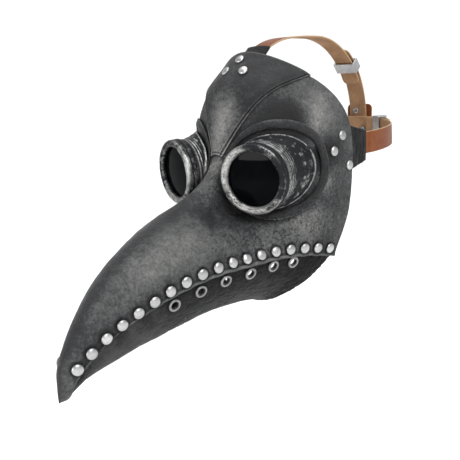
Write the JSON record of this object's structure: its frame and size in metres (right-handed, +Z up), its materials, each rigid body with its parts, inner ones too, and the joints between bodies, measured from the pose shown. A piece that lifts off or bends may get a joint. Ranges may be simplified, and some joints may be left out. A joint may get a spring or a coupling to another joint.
{
  "type": "plague doctor mask",
  "caption": "Full-face beaked costume mask with round goggles, a studded seam, a vented lower panel and a three-strap head harness.",
  "frame": {"origin": "middle of the wearer's head, level with the eyes and between the ears", "axes": "+Z up, -Y the way the mask faces, +X the wearer's left"},
  "size_m": [0.1608, 0.4052, 0.2683],
  "materials": {
    "face_leather": "worn, brushed grey over black",
    "black_leather": "matt, creased",
    "antique_metal": "silver rubbed over black",
    "bright_metal": "nickel plated, slightly rough",
    "smoked_lens": "dark gloss",
    "gasket_rubber": "matt",
    "tan_leather": "smooth, satin",
    "steel_slider": "satin"
  },
  "bodies": {
    "mask": {"face_shell": "face_leather", "forehead_panel": "face_leather", "lower_beak_panel": "black_leather", "top_strap_tab": "black_leather", "left_temple_tab": "black_leather", "right_temple_tab": "black_leather", "left_eye_collar": "black_leather", "right_eye_collar": "black_leather", "left_eye_tube": "antique_metal", "left_bezel": "antique_metal", "right_eye_tube": "antique_metal", "right_bezel": "antique_metal", "left_eyelet_1": "antique_metal", "left_eyelet_2": "antique_metal", "left_eyelet_3": "antique_metal", "left_eyelet_4": "antique_metal", "left_eyelet_5": "antique_metal", "left_eyelet_6": "antique_metal", "right_eyelet_1": "antique_metal", "right_eyelet_2": "antique_metal", "right_eyelet_3": "antique_metal", "right_eyelet_4": "antique_metal", "right_eyelet_5": "antique_metal", "right_eyelet_6": "antique_metal", "left_lens": "smoked_lens", "right_lens": "smoked_lens", "left_lens_gasket": "gasket_rubber", "right_lens_gasket": "gasket_rubber", "left_stud_row": "bright_metal", "right_stud_row": "bright_metal", "left_temple_rivet_1": "bright_metal", "left_temple_rivet_2": "bright_metal", "left_temple_rivet_3": "bright_metal", "right_temple_rivet_1": "bright_metal", "right_temple_rivet_2": "bright_metal", "right_temple_rivet_3": "bright_metal", "top_rivet_1": "bright_metal", "top_rivet_2": "bright_metal", "top_rivet_3": "bright_metal", "rear_rivet_1": "bright_metal", "rear_rivet_2": "bright_metal", "rear_rivet_3": "bright_metal", "left_side_strap": "tan_leather", "right_side_strap": "tan_leather", "top_strap": "tan_leather", "top_rear_strap": "tan_leather", "rear_strap": "tan_leather", "rear_patch": "tan_leather"},
    "left_side_adjuster": {"left_side_slider": "steel_slider"},
    "right_side_adjuster": {"right_side_slider": "steel_slider"},
    "top_adjuster": {"top_slider": "steel_slider"}
  },
  "joints": [
    {"name": "left_side_adjust", "type": "hinge", "parent": "mask", "child": "left_side_adjuster", "pos_m": [0, 0.038, 0.0392], "axis": [0, -0.0872, 0.9962], "range_deg": [-8, 8]},
    {"name": "right_side_adjust", "type": "hinge", "parent": "mask", "child": "right_side_adjuster", "pos_m": [0, 0.038, 0.0392], "axis": [0, -0.0872, 0.9962], "range_deg": [-8, 8]},
    {"name": "top_adjust", "type": "hinge", "parent": "mask", "child": "top_adjuster", "pos_m": [0, 0.032, 0.051], "axis": [1, 0, 0], "range_deg": [-7, 7]}
  ]
}
